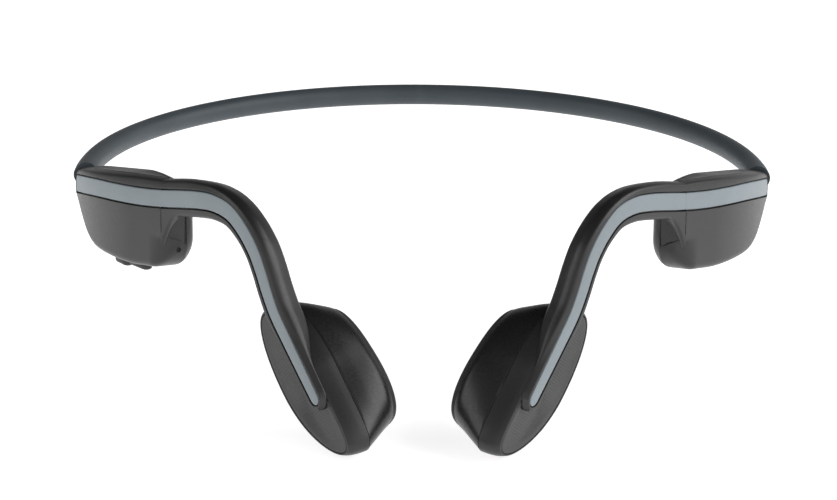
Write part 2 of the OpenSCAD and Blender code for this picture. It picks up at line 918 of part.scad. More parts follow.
placed_part() {
  neckband_sleeve();
  neckband_wire();
  neckband_cable();
  band_plug();  // right_band_plug
  mirror([1, 0, 0]) band_plug();  // left_band_plug
  right_housing_outer_shell();
  right_housing_inner_shell();
  right_housing_seal();
  left_housing_outer_shell();
  left_housing_inner_shell();
  left_housing_seal();
  main_board();
  radio_shield();
  board_screws();
  usb_c_receptacle();
  port_cover();
  volume_up_button();
  volume_down_button();
  volume_switches();
  front_microphone();
  lower_microphone();
  microphone_meshes();
  status_light_lens();
  battery_cell();
  battery_protection_board();
  battery_foam_pad();
  ear_hook();  // right_ear_hook
  hook_strip();  // right_hook_strip
  hook_wire();  // right_hook_wire
  hook_cable();  // right_hook_cable
  mirror([1, 0, 0]) ear_hook();  // left_ear_hook
  mirror([1, 0, 0]) hook_strip();  // left_hook_strip
  mirror([1, 0, 0]) hook_wire();  // left_hook_wire
  mirror([1, 0, 0]) hook_cable();  // left_hook_cable
  pod_outer_shell();  // right_pod_outer_shell
  pod_inner_shell();  // right_pod_inner_shell
  pod_seal();  // right_pod_seal
  pod_plate();  // right_pod_panel
  contact_pad();  // right_contact_pad
  transducer_yoke();  // right_transducer_yoke
  transducer_magnet();  // right_transducer_magnet
  voice_coil();  // right_voice_coil
  flexure_spring();  // right_flexure_spring
  drive_plate();  // right_drive_plate
  mirror([1, 0, 0]) pod_outer_shell();  // left_pod_outer_shell
  mirror([1, 0, 0]) pod_inner_shell();  // left_pod_inner_shell
  mirror([1, 0, 0]) pod_seal();  // left_pod_seal
  multifunction_button();
  mirror([1, 0, 0]) contact_pad();  // left_contact_pad
  mirror([1, 0, 0]) transducer_yoke();  // left_transducer_yoke
  mirror([1, 0, 0]) transducer_magnet();  // left_transducer_magnet
  mirror([1, 0, 0]) voice_coil();  // left_voice_coil
  mirror([1, 0, 0]) flexure_spring();  // left_flexure_spring
  mirror([1, 0, 0]) drive_plate();  // left_drive_plate
  multifunction_board();
  multifunction_switch();
}
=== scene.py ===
"""Bone conduction headphones: the looks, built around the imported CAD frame.

The wearer's right arm is built at x < 0 and the left one is its mirror image. Sizes are in millimetres,
in the arm's own coordinates: s along the arm's outer face from the neckband, t in from that face, z up.
"""

import json
import math

import bmesh
import bpy
from mathutils import Matrix, Vector


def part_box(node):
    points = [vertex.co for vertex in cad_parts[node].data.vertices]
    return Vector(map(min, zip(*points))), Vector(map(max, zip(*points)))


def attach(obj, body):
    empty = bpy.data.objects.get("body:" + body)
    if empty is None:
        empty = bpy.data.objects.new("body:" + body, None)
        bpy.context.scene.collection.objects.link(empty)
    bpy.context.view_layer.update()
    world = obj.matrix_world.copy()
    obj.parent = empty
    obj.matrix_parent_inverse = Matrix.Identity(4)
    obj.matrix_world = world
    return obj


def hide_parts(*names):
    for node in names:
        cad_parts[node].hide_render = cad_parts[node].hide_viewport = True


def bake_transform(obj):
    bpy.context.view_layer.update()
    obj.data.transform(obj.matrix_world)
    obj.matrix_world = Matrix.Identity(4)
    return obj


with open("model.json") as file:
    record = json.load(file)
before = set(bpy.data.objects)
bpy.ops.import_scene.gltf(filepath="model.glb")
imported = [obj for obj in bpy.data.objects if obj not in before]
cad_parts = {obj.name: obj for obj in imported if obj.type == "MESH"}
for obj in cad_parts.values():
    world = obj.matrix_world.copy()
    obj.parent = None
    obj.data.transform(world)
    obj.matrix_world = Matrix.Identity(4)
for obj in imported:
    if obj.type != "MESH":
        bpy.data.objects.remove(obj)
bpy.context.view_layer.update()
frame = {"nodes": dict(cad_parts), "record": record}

MM = 0.001
PI = math.pi

# ---- Driving dimensions, as in the CAD source ----
SPAN = 132
TOE_IN_REAR = math.radians(14)
TOE_IN_FRONT = math.radians(41)
BEND_R = 60
BAND_R = 63.7
BAND_D = 4.2
BAND_Z = 4.6
HOUSING_START = 1.3
HOUSING_END = 37.4
HOUSING_DEPTH = 8.6
HOUSING_PARTING = 5.6
HOUSING_WALL = 1.1
HOOK_DEPTH = 4.6
CHANNEL_D = 2.5
CHANNEL_T = 2.7
STRIP_W = 3.3
STRIP_DEPTH = 0.6
TONGUE_DEPTH = 1.15
POD_A = 14.3
POD_B = 6.3
POD_SLOPE = math.radians(40)
POD_S = 75.8
POD_Z = -15.7
POD_DEPTH = 14
POD_WALL = 1.1
PAD_SEAT = POD_DEPTH - 1.4
PANEL_TOP = TONGUE_DEPTH + 0.05
PLATE_H = 1
VOLUME_T = 2.85
BUTTON_T = 2.2
VOLUME_UP = {"s": 21, "width": 4.7, "low": -8}
VOLUME_DOWN = {"s": 26.9, "width": 5.8, "low": -7.3}
PORT_S = 9.4
PORT_Z = 1.4
FLAP_L = 11.4
FLAP_H = 5
FLAP_T = 0.9
FLAP_FACE = HOUSING_DEPTH + 0.12
FRONT_MIC = (3.9, -1.9)
LOWER_MIC = (31.6, 3.7, -6.3)
MIC_D = 1
LIGHT_S = 18.4
LIGHT_Z = 1.4
LIGHT_D = 1.2

# ---- The arm's coordinates in the row frame ----
sleeve_low, sleeve_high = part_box("neckband_sleeve")
SHIFT_Y = sleeve_high.y / MM - BAND_R - BAND_D / 2
SHIFT_Z = (sleeve_low.z + sleeve_high.z) / 2 / MM - BAND_Z
BEND_LENGTH = BEND_R * (TOE_IN_FRONT - TOE_IN_REAR)


def toe_in(s):
    return TOE_IN_REAR + min(s, BEND_LENGTH) / BEND_R


def row(x, y, z):
    """A point in the row frame, in metres."""
    return Vector((x, y + SHIFT_Y, z + SHIFT_Z)) * MM


def arm(s, t, z):
    """A point in the arm's coordinates, as a point in the row frame."""
    q = toe_in(s)
    past = max(0, s - BEND_LENGTH)
    x = -SPAN / 2 + BEND_R * (math.cos(TOE_IN_REAR) - math.cos(q)) + past * math.sin(q) + t * math.cos(q)
    y = -BEND_R * (math.sin(q) - math.sin(TOE_IN_REAR)) - past * math.cos(q) + t * math.sin(q)
    return row(x, y, z)


# ---- Camera, at the photograph's viewing angle ----
def look(elevation, yaw, roll, distance, target, lens, shift):
    """A camera looking at target from the front: elevation above it, yaw to its right, rolled clockwise."""
    e, y, r = (math.radians(a) for a in (elevation, yaw, roll))
    forward = Vector((math.sin(y) * math.cos(e), math.cos(y) * math.cos(e), -math.sin(e)))
    level_right = Vector((math.cos(y), -math.sin(y), 0))
    level_up = level_right.cross(forward)
    right = level_right * math.cos(r) + level_up * math.sin(r)
    up = level_up * math.cos(r) - level_right * math.sin(r)
    camera = bpy.data.objects.new("camera", bpy.data.cameras.new("camera"))
    bpy.context.scene.collection.objects.link(camera)
    place = target - forward * distance * MM
    camera.matrix_world = Matrix(((*right, 0), (*up, 0), (*-forward, 0), (*place, 1))).transposed()
    camera.data.sensor_width = 36
    camera.data.lens = lens
    camera.data.shift_x, camera.data.shift_y = shift
    camera.data.clip_start = 0.02
    bpy.context.scene.camera = camera


look(
    elevation=16.75, yaw=0.59, roll=0.475,
    distance=560, target=row(0, -8, -8), lens=127.8, shift=(-0.0042, 0),
)  # fmt: skip


# ---- Curves and outlines ----
CORNER_STEPS = 4


def clamp(x, low=0.0, high=1.0):
    return max(low, min(high, x))


def spline(points, u):
    """A smooth curve through points, where u counts them."""
    last = len(points) - 1
    i = int(clamp(math.floor(u), 0, last - 1))
    f = u - i
    a, b, c, d = (Vector(points[int(clamp(k, 0, last))]) for k in (i - 1, i, i + 1, i + 2))
    return 0.5 * (2 * b + (c - a) * f + (2 * a - 5 * b + 4 * c - d) * f**2 + (3 * b - a - 3 * c + d) * f**3)


def smooth(x):
    x = clamp(x)
    return x * x * (3 - 2 * x)


def stepped(points, x):
    """The height at x of the straight lines through points."""
    for (a, low), (b, high) in zip(points, points[1:]):
        if x < b:
            return low + (high - low) * clamp((x - a) / (b - a))
    return points[-1][1]


def spaced(low, high, count):
    return [low + (high - low) * k / (count - 1) for k in range(count)]


def fillet(distance, radius):
    """How far a rounded corner of that radius lies inside its square one, at a distance from the end."""
    if radius <= 0 or distance >= radius:
        return 0
    return radius - math.sqrt(max(0, radius**2 - (radius - distance) ** 2))


def corner_arc(before, corner, after, steps):
    """The points that round an (x, y, reach) corner over its reach along both of its sides."""
    here, reach = Vector(corner[:2]), corner[2]
    back, on = Vector(before[:2]) - here, Vector(after[:2]) - here
    start = here + back * min(0.48, reach / max(back.length, 1e-6))
    end = here + on * min(0.48, reach / max(on.length, 1e-6))
    return [start * (1 - f) ** 2 + here * 2 * f * (1 - f) + end * f**2 for f in spaced(0, 1, steps + 1)]


def rounded(corners):
    """A closed outline through (x, y, reach) corners, each rounded."""
    points = []
    for k, corner in enumerate(corners):
        points += corner_arc(corners[k - 1], corner, corners[(k + 1) % len(corners)], CORNER_STEPS)
    return points


def open_outline(corners, steps):
    """Like rounded, for a run of corners that isn't closed: its two end corners stay sharp."""
    points = [Vector(corners[0][:2])]
    for before, corner, after in zip(corners, corners[1:], corners[2:]):
        points += corner_arc(before, corner, after, steps)
    return points + [Vector(corners[-1][:2])]


def superellipse(a, b, power, count, centre=(0, 0)):
    points = []
    for k in range(count):
        q = (k + 0.5) * 2 * PI / count
        c, s = math.cos(q), math.sin(q)
        x = a * math.copysign(abs(c) ** (2 / power), c)
        y = b * math.copysign(abs(s) ** (2 / power), s)
        points.append(Vector((centre[0] + x, centre[1] + y)))
    return points


# ---- Mesh work ----
SHARP = math.radians(32)


def mirrored(point, side):
    """side is "right" or "left", as the wearer has them."""
    return point if side == "right" else Vector((-point.x, point.y, point.z))


def finished(name, bm, sharp=SHARP):
    """The mesh as an object, with its faces outward and smooth apart from its sharp edges."""
    bmesh.ops.recalc_face_normals(bm, faces=bm.faces)
    for face in bm.faces:
        face.smooth = True
    for edge in bm.edges:
        edge.smooth = len(edge.link_faces) == 2 and edge.calc_face_angle(0) < sharp
    mesh = bpy.data.meshes.new(name)
    bm.to_mesh(mesh)
    bm.free()
    obj = bpy.data.objects.new(name, mesh)
    bpy.context.scene.collection.objects.link(obj)
    return obj


def skin(bm, rings, wrap=False):
    """Adds a closed skin through rings of equal point counts; its two ends are flat caps unless it wraps."""
    rows = [[bm.verts.new(p) for p in ring] for ring in rings]
    pairs = list(zip(rows, rows[1:])) + ([(rows[-1], rows[0])] if wrap else [])
    for a, b in pairs:
        for k in range(len(a)):
            n = (k + 1) % len(a)
            bm.faces.new((a[k], a[n], b[n], b[k]))
    if not wrap:
        for cap in (rows[0], rows[-1]):
            face = bm.faces.new(cap)
            bmesh.ops.triangulate(bm, faces=[face])


def lofted(name, rings, side="right", wrap=False):
    """A closed skin through the right arm's rings, mirrored for the left one."""
    bm = bmesh.new()
    skin(bm, [[mirrored(p, side) for p in ring] for ring in rings], wrap)
    return finished(name, bm)


def cut(obj, *cutters):
    """Cuts the cutters out of obj and removes them."""
    for cutter in cutters:
        change = obj.modifiers.new("cut", "BOOLEAN")
        change.operation = "DIFFERENCE"
        change.solver = "EXACT"
        change.object = cutter
    bpy.context.view_layer.update()
    seen = obj.evaluated_get(bpy.context.evaluated_depsgraph_get())
    mesh = bpy.data.meshes.new_from_object(seen)
    obj.modifiers.clear()
    old, obj.data = obj.data, mesh
    bpy.data.meshes.remove(old)
    for cutter in cutters:
        bpy.data.objects.remove(cutter)
    bm = bmesh.new()
    bm.from_mesh(obj.data)
    bmesh.ops.remove_doubles(bm, verts=bm.verts, dist=1e-7)
    for edge in bm.edges:
        edge.smooth = len(edge.link_faces) == 2 and edge.calc_face_angle(0) < SHARP
    bm.to_mesh(obj.data)
    bm.free()
    return obj


def dressed(obj, material, body, slot, *nodes):
    """Gives a piece its material and the body it rides on, and hides the CAD nodes it stands for; the slot is
    not used.
    """
    obj.data.materials.clear()
    obj.data.materials.append(material)
    if body:
        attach(obj, body)
    if nodes:
        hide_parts(*nodes)
    return obj


# ---- Materials ----
def node(tree, kind, **values):
    made = tree.nodes.new(kind)
    for key, value in values.items():
        if key in made.inputs:
            made.inputs[key].default_value = value
        else:
            setattr(made, key, value)
    return made


def noise(tree, coordinates, scale, detail=3.0, roughness=0.55):
    """Noise with features of about 1/scale millimetres, from the object's own coordinates."""
    made = node(tree, "ShaderNodeTexNoise", Scale=scale / MM, Detail=detail, Roughness=roughness)
    tree.links.new(coordinates.outputs["Object"], made.inputs["Vector"])
    return made.outputs["Fac"]


def mapped(tree, value, low, high, from_low=0.3, from_high=0.7):
    made = node(tree, "ShaderNodeMapRange")
    for key, number in zip(("From Min", "From Max", "To Min", "To Max"), (from_low, from_high, low, high)):
        made.inputs[key].default_value = number
    tree.links.new(value, made.inputs["Value"])
    return made.outputs["Result"]


def mixed(tree, fac, a, b):
    made = node(tree, "ShaderNodeMix", data_type="RGBA")
    for socket, colour in ((made.inputs[6], a), (made.inputs[7], b)):
        if isinstance(colour, tuple):
            socket.default_value = (*colour, 1)
        else:
            tree.links.new(colour, socket)
    tree.links.new(fac, made.inputs[0])
    return made.outputs[2]


def scaled(colour, by):
    return tuple(c * by for c in colour)


def moulded(
    name, colour, roughness, grain=2.2, depth=0.012, cloud=0.12, wear=0.25,
    specular=0.5, metallic=0.0, sheen=0.0,
):  # fmt: skip
    """A fine grain in the bump and roughness, slow colour clouds and paler worn edges."""
    material = bpy.data.materials.new(name)
    material.use_nodes = True
    tree = material.node_tree
    shader = tree.nodes["Principled BSDF"]
    place = node(tree, "ShaderNodeTexCoord")
    slow = noise(tree, place, 0.09, 2.0)
    fine = noise(tree, place, grain, 4.0, 0.6)
    clouded = mixed(tree, mapped(tree, slow, 0.0, 1.0), scaled(colour, 1 - cloud), scaled(colour, 1 + cloud))
    geometry = node(tree, "ShaderNodeNewGeometry")
    edges = mapped(tree, geometry.outputs["Pointiness"], 0.0, wear, 0.51, 0.56)
    worn = mixed(tree, edges, clouded, scaled(colour, 1.9))
    tree.links.new(worn, shader.inputs["Base Color"])
    tree.links.new(mapped(tree, fine, roughness - 0.05, roughness + 0.06), shader.inputs["Roughness"])
    bump = node(tree, "ShaderNodeBump", Strength=0.6, Distance=depth * MM)
    tree.links.new(fine, bump.inputs["Height"])
    tree.links.new(bump.outputs["Normal"], shader.inputs["Normal"])
    shader.inputs["Specular IOR Level"].default_value = specular
    shader.inputs["Metallic"].default_value = metallic
    shader.inputs["Sheen Weight"].default_value = sheen
    return material


MATERIALS = {
    "sleeve_silicone": moulded(
        "silicone_slate", (0.046, 0.058, 0.067), 0.5, 1.6, 0.01, 0.08, 0.1, 0.4, sheen=0.05
    ),
    "shell_plastic": moulded("satin_charcoal", (0.016, 0.016, 0.016), 0.34),
    "strip_plastic": moulded("strip_blue_grey", (0.205, 0.24, 0.26), 0.42, 1.8, 0.006, 0.05, 0.15),
    "panel_plastic": moulded("panel_grey", (0.035, 0.035, 0.035), 0.42, 2.4, 0.008),
    "pad_silicone": moulded("pad_black_silicone", (0.014, 0.014, 0.014), 0.6, 1.2, 0.014, sheen=0.1),
    "button_silicone": moulded("button_black", (0.02, 0.02, 0.021), 0.5, 2.0, 0.012),
    "seal_silicone": moulded("seal_red", (0.25, 0.02, 0.015), 0.5),
    "spring_wire": moulded("spring_wire", (0.5, 0.5, 0.51), 0.3, 1.0, 0.004, 0.05, metallic=1.0),
    "cable_jacket": moulded("cable_black", (0.012, 0.012, 0.013), 0.5, 1.2),
    "coil_copper": moulded("coil_copper", (0.6, 0.25, 0.12), 0.3, 6.0, 0.03, 0.1, metallic=1.0),
    "circuit_board": moulded("board_green", (0.015, 0.09, 0.04), 0.35, 1.4, 0.02, 0.2),
    "battery_foil": moulded("battery_foil", (0.55, 0.56, 0.57), 0.38, 0.5, 0.03, 0.1, metallic=1.0),
    "foam": moulded("foam_black", (0.02, 0.02, 0.02), 0.9, 3.0, 0.08),
    "clear_lens": moulded("lens_frosted", (0.6, 0.62, 0.62), 0.25, 1.0, 0.004, 0.03, 0.0),
    "magnet_nickel": moulded("magnet_nickel", (0.45, 0.45, 0.42), 0.25, 0.8, 0.004, metallic=1.0),
    "connector_steel": moulded("connector_steel", (0.5, 0.5, 0.5), 0.28, 1.2, 0.005, metallic=1.0),
    "steel": moulded("steel", (0.48, 0.48, 0.49), 0.3, 1.2, 0.005, metallic=1.0),
}

# ---- Nodes that look unlike the rest of their slot ----
OWN_MATERIALS = {
    "pod_inner_shells": moulded("glossy_black_shell", (0.011, 0.011, 0.011), 0.3, depth=0.001, cloud=0.05),
    "microphone_meshes": moulded("blackened_mesh", (0.012, 0.012, 0.012), 0.5, 4.0, 0.02, metallic=0.6),
}

# ---- Neckband: two halves that meet behind the head ----
BAND_POINTS = 40
BAND_SWELL = 0.06
# A lead leaves the sleeve's curve LEAD_PAST radians after the half circle, LEAD_SHIFT off its centreline
LEAD_POINTS = 12
LEAD_SHIFT = 0.5
LEAD_PAST = 0.011
LEAD_WAY = (0.498, -0.797, -0.342)
LEAD_TURN = 0.3
LEAD_THINNER = 0.15
WIRE_D = 1
WIRE_TAIL = 3.9
CABLE_D = 0.9
CABLE_TAIL = 4.2


def neckband_half(side):
    """Half of the sleeve, which swells slightly where it ends in the housing's rear face."""
    end_s = HOUSING_START + 0.3
    normal = (arm(end_s + 0.1, 0, 0) - arm(end_s, 0, 0)).normalized()
    stop = arm(end_s, 0, BAND_Z)
    last_angle = PI + math.radians(3)

    def ring(angle, radius, onto_face=False):
        out = Vector((math.cos(angle), math.sin(angle), 0))
        along = Vector((-math.sin(angle), math.cos(angle), 0))
        centre = row(BAND_R * out.x, BAND_R * out.y, BAND_Z)
        points = []
        for k in range(BAND_POINTS):
            q = 2 * PI * k / BAND_POINTS
            p = centre + (out * math.cos(q) + Vector((0, 0, math.sin(q)))) * radius * MM
            if onto_face:
                p = p + along * ((stop - p).dot(normal) / along.dot(normal))
            points.append(p)
        return points

    rings = []
    for angle in spaced(PI / 2, PI - 0.02, 110):
        swell = 1 + BAND_SWELL * clamp((angle - PI + 0.16) / 0.14) ** 2
        rings.append(ring(angle, BAND_D / 2 * swell))
    rings.append(ring(last_angle, BAND_D / 2 * (1 + BAND_SWELL), True))
    obj = lofted(f"{side}_neckband_skin", rings, side)
    dressed(obj, MATERIALS["sleeve_silicone"], None, "sleeve_silicone", "neckband_sleeve")
    springs_open(obj)


def springs_open(obj):
    """Bakes a piece of the neckband's placement into its mesh; it doesn't bend it."""
    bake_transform(obj)


def neckband_lead(side, node_name, slot, diameter, rise, tail):
    """Half of a lead in the sleeve, which turns forward and down into the housing and is thinner there."""

    def ring(centre, out, upright, radius):
        turn = spaced(0, 2 * PI, LEAD_POINTS + 1)[:-1]
        return [centre + (out * math.cos(q) + upright * math.sin(q)) * radius * MM for q in turn]

    up = Vector((0, 0, 1))
    rings = []
    for angle in spaced(PI / 2, PI + LEAD_PAST, 90):
        out = Vector((math.cos(angle), math.sin(angle), 0))
        start = row(BAND_R * out.x, BAND_R * out.y, BAND_Z + rise)
        rings.append(ring(start, out, up, diameter / 2))
    way = Vector(LEAD_WAY).normalized()
    turned = way.cross(up).normalized()
    upright = turned.cross(way).normalized()
    for far in (LEAD_TURN, tail):
        rings.append(ring(start + way * far * MM, turned, upright, diameter / 2 - LEAD_THINNER))
    obj = lofted(f"{side}_{node_name}", rings, side)
    dressed(obj, MATERIALS[slot], None, slot, node_name)
    springs_open(obj)


# ---- The guide curve of the inlay strip, rail, hook and tongue, as (s, z) ----
GUIDE = [
    (0.4, 2.7), (8, 4.3), (16, 5.7), (24, 6.7), (31, 7.5), (37.4, 8.5), (43, 9.6), (48, 10.5),
    (52.5, 10.9), (57, 10.2), (60.7, 7.9), (63.7, 4.8), (65.7, 1.6), (67.4, -1.8), (69.5, -5.3),
    (72.8, -9.2), (75.6, -12.4), (78.4, -15.6), (81.1, -18.7),
]  # fmt: skip
GUIDE_LAST = len(GUIDE) - 1
HOOK_ROOT = 5
HOOK_END = 15
STRIP_START = 0.36
GROOVE = 0.26
PAST_END = 4.2
TIP_LENGTH = 0.45


def guide_at(u):
    return spline(GUIDE, u)


def across(u):
    """Across the guide: upright as far as the hook's root, then square to the curve."""
    along = guide_at(min(GUIDE_LAST, u + 0.05)) - guide_at(max(0, u - 0.05))
    square = Vector((-along.y, along.x)).normalized()
    f = clamp(u - HOOK_ROOT)
    return (Vector((0, 1)) * (1 - f) + square * f).normalized()


def placed(section, u):
    """A section of (across the guide, t) points, placed on the guide at u, and straight on past its end."""
    p, v = guide_at(min(u, GUIDE_LAST)), across(min(u, GUIDE_LAST))
    p = p + Vector((v.y, -v.x)) * max(0, u - GUIDE_LAST) * PAST_END
    return [arm(p.x + w * v.x, t, p.y + w * v.y) for w, t in section]


def guide_u(s):
    """The guide's u at s, before the hook's bend."""
    low, high = 0.0, 9.0
    for _ in range(30):
        middle = (low + high) / 2
        low, high = (middle, high) if guide_at(middle).x < s else (low, middle)
    return low


def tip(u, reach):
    """1 along the strip, falling to 0 in a round end that reaches past the guide's last point."""
    left = (GUIDE_LAST + reach - u) / (TIP_LENGTH + reach)
    return math.sqrt(max(0.0, 1 - (1 - left) ** 2)) if left < 1 else 1.0


def strip_full(u):
    """Half the strip's width, without its round tip."""
    part = min(u, GUIDE_LAST) / GUIDE_LAST
    return STRIP_W / 2 * (1 - 0.12 * part - 0.24 * part**4)


def strip_half(u):
    return strip_full(u) * tip(u, 0)


def inlay_strip(side):
    """The pale strip: a flat bar with softly rounded edges, rounded corners at the rear and a round tip."""
    rear = STRIP_START
    us = [rear, rear + 0.015, rear + 0.04, rear + 0.08] + spaced(rear + 0.2, GUIDE_LAST - 0.5, 150)
    us += [GUIDE_LAST - TIP_LENGTH * (1 - math.sin(q)) for q in spaced(0.05, PI / 2 - 0.14, 14)]
    rings = []
    for u in us:
        corner = 0.45 * (1 - math.sqrt(1 - (1 - clamp((u - rear) / 0.08)) ** 2))
        h = strip_half(u) - corner - 0.02
        edge = min(0.22, h * 0.5)
        section = [(h, 0.02, edge), (h, STRIP_DEPTH, 0.03), (-h, STRIP_DEPTH, 0.03), (-h, 0.02, edge)]
        rings.append(placed(rounded(section), u))
    obj = lofted(f"{side}_strip", rings, side)
    dressed(obj, MATERIALS["strip_plastic"], f"{side}_arm", "strip_plastic", f"{side}_hook_strip")


# ---- Ear hook ----
def flare(u):
    return max(0, (42 - guide_at(u).x) / (42 - HOUSING_END)) ** 2.2


def groove_corners(u):
    """The strip's groove, as the corners of a section."""
    h = max(0.02, (strip_full(u) + GROOVE) * tip(u, 0.06))
    bed = STRIP_DEPTH + 0.05 if h > 0.1 else 0.02
    return [(-h, 0, 0.06), (-h, bed, 0.04), (h, bed, 0.04), (h, 0, 0.06)]


def hook_outline(u):
    """A chamfered upper edge, a rounded back, and an underside that flares into the housing's front edge."""
    f = flare(u)
    low = stepped([(HOOK_ROOT, 3.4), (8, 3.3), (10.5, 2.9)], u)
    high = stepped([(HOOK_ROOT, 3.5), (6.3, 3.5), (9, 2.8), (11, 3.1)], u)
    depth = HOOK_DEPTH
    land = strip_full(u) + GROOVE + 0.12
    corners = [
        (land, 0, 0.05), (high - 0.3, 0.3, 0.5), (high, 1.7, 0.7), (high - 0.8, depth, 0.8),
        (-low + 1.7, depth, 1.0), (-low + 0.1 - 1.4 * f, depth - 1.6, 1.1), (-low - 5.2 * f, 0.6, 0.35),
        (-low - 5 * f + 0.5, 0, 0.3),
    ]  # fmt: skip
    return rounded(corners + groove_corners(u))


def tongue_outline(u):
    """Where the hook runs on over the pod's panel: a thin rim on one side, a sloping flank on the other."""
    half = strip_full(u) + GROOVE
    rim = max(0.04, (half + 0.28) * tip(u, 0.14))
    flank = max(0.04, (half + 0.32) * tip(u, 0.14))
    foot = max(0.04, (half + 0.85) * tip(u, 0.28))
    shy = min(0.1, rim / 2)
    corners = [
        (flank, 0, 0.15), (foot, 0.95, 0.2),
        (foot, TONGUE_DEPTH - 0.02, 0.02), (foot - shy, TONGUE_DEPTH, 0.02),
        (-rim + shy, TONGUE_DEPTH, 0.02), (-rim, TONGUE_DEPTH - 0.02, 0.02),
        (-rim, 0.3, 0.1), (-rim + shy, 0, 0.1),
    ]  # fmt: skip
    return rounded(corners + groove_corners(u))


# The points of a section's first four corners, which are on its upper side
UPPER_POINTS = 4 * (CORNER_STEPS + 1)


def arm_outline(u):
    """The hook's section, which sinks into the pod and turns into the tongue's, its lower side first."""
    hook, tongue = hook_outline(u), tongue_outline(u)
    upper, lower = smooth((u - 14.2) / 2.6), smooth((u - 13.6) / 1.8)
    return [a.lerp(b, upper if k < UPPER_POINTS else lower) for k, (a, b) in enumerate(zip(hook, tongue))]


def ear_hook(side):
    """From the tongue's tip back to the root, then down the blind channel of the leads."""
    us = spaced(HOOK_ROOT - 0.04, 16.9, 140) + spaced(17, GUIDE_LAST - 0.5, 6)
    us += [GUIDE_LAST - TIP_LENGTH + 0.72 * math.sin(q) for q in spaced(0.03, PI / 2 - 0.06, 22)]
    rings = [placed(arm_outline(u), u) for u in us]
    count = len(rings[0])
    channel = []
    for u in us[::4]:
        if u < HOOK_END - 1:
            loop = []
            for k in range(count):
                q = PI / 2 - 2 * PI * k / count
                loop.append((0.1 + CHANNEL_D / 2 * math.sin(q), CHANNEL_T - CHANNEL_D / 2 * math.cos(q)))
            channel.append(placed(loop, u))
    obj = lofted(f"{side}_hook", rings[::-1] + channel, side)
    dressed(obj, MATERIALS["shell_plastic"], f"{side}_arm", "shell_plastic", f"{side}_ear_hook")


# ---- Housings ----
BOTTOM_LINE = [
    (0, 1.6), (3, -0.2), (6.5, -2.7), (10, -5.1), (13.5, -6.2), (20, -6.3), (27, -6), (33, -5.2), (39, -4.4),
]  # fmt: skip
FACE_WALL = 1.6
FRONT_CORNER = 4
REAR_CORNER = 0.8
SEAM = 0.12


def rail_top(s):
    return 5.6 + 0.235 * s - 0.0017 * s * s


def bottom(s):
    """The housing's lower line at s, as in the CAD. The skin lies a little below it."""
    i = 0
    while i < len(BOTTOM_LINE) - 2 and s > BOTTOM_LINE[i + 1][0]:
        i += 1
    a, b = BOTTOM_LINE[i][0], BOTTOM_LINE[i + 1][0]
    return spline(BOTTOM_LINE, i + (s - a) / (b - a)).y


def housing_edges(s):
    """The heights of the housing's top and bottom at s, with its rear and front corners rounded."""
    rear, front = s - HOUSING_START, HOUSING_END - s
    top = rail_top(s) - fillet(rear, 1.2)
    low = bottom(s) - 0.75 + fillet(rear, REAR_CORNER) + fillet(front, FRONT_CORNER)
    return top, low


def sag(s):
    """How far the top sinks towards the front, behind the rail."""
    return 2.4 * max(0, (s - 26) / 11) ** 1.5


def outer_side(s, inset=0.0):
    """The outer shell's section at s, from its top seam over the outer face to its bottom seam."""
    top, low = housing_edges(s)
    front, rear = HOUSING_END - s, s - HOUSING_START
    middle = guide_at(guide_u(s)).y
    half = strip_half(guide_u(s)) + GROOVE
    ends = 0.5 * fillet(rear, 0.6)
    rounding = fillet(front, FRONT_CORNER)
    back = top - sag(s)
    groove = STRIP_DEPTH + 0.05 if guide_u(s) > STRIP_START - 0.03 else 0.0
    if inset:
        back, low, face = back - inset, low + inset, FACE_WALL
        return [
            (back, HOUSING_PARTING, 0.02), (back, face + 1.2, 0.5), (back - 0.3, face, 0.3),
            (middle + half, face, 0.02), (middle + half, face, 0.02),
            (middle - half, face, 0.02), (middle - half, face, 0.02),
            (low + 1.2, face, 0.5), (low + 0.3, face + 1.0, 0.5), (low, HOUSING_PARTING, 0.02),
        ]  # fmt: skip
    return [
        (back - SEAM, HOUSING_PARTING, 0.02), (back, HOUSING_PARTING - SEAM, 0.05),
        ((top + back) / 2, 3.2, 1.0), (top, 2.1, 0.1), (top - 0.16, 1.9, 0.05), (top, 1.7, 0.1),
        (top - 0.05, 1.3 + ends, 0.3), (top - 0.35, 0.35 + ends, 0.4),
        (middle + half, ends, 0.06), (middle + half, groove + ends, 0.04),
        (middle - half, groove + ends, 0.04), (middle - half, ends, 0.06),
        (1.4, ends, 0.8), (low + 1.3, ends + rounding, 0.8), (low + 0.5, 0.75 + ends + rounding, 0.8),
        (low, HOUSING_PARTING - SEAM, 0.05), (low + SEAM, HOUSING_PARTING, 0.02),
    ]  # fmt: skip


def resampled(points, count):
    """The same run of points, with count of them evenly spaced along it."""
    lengths = [0.0]
    for a, b in zip(points, points[1:]):
        lengths.append(lengths[-1] + (b - a).length)
    found = []
    k = 0
    for want in spaced(0, lengths[-1], count):
        while k < len(points) - 2 and lengths[k + 1] < want:
            k += 1
        part = (want - lengths[k]) / max(lengths[k + 1] - lengths[k], 1e-9)
        found.append(points[k].lerp(points[k + 1], clamp(part)))
    return found


def shell_rings(side_of):
    """C-shaped rings of a housing shell, closed at both ends by a wall across it."""
    rings = []
    for s in housing_stations():
        outer = open_outline(side_of(s, 0.0), 4)
        if HOUSING_START + HOUSING_WALL < s < HOUSING_END - HOUSING_WALL:
            inner = resampled(open_outline(side_of(s, HOUSING_WALL), 2), len(outer) - 2)
        else:
            a, b = outer[0], outer[-1]
            shy = (b - a).normalized() * 0.05
            inner = resampled([a + shy, b - shy], len(outer) - 2)
        rings.append([arm(s, t, z) for z, t in outer + inner[::-1]])
    return rings


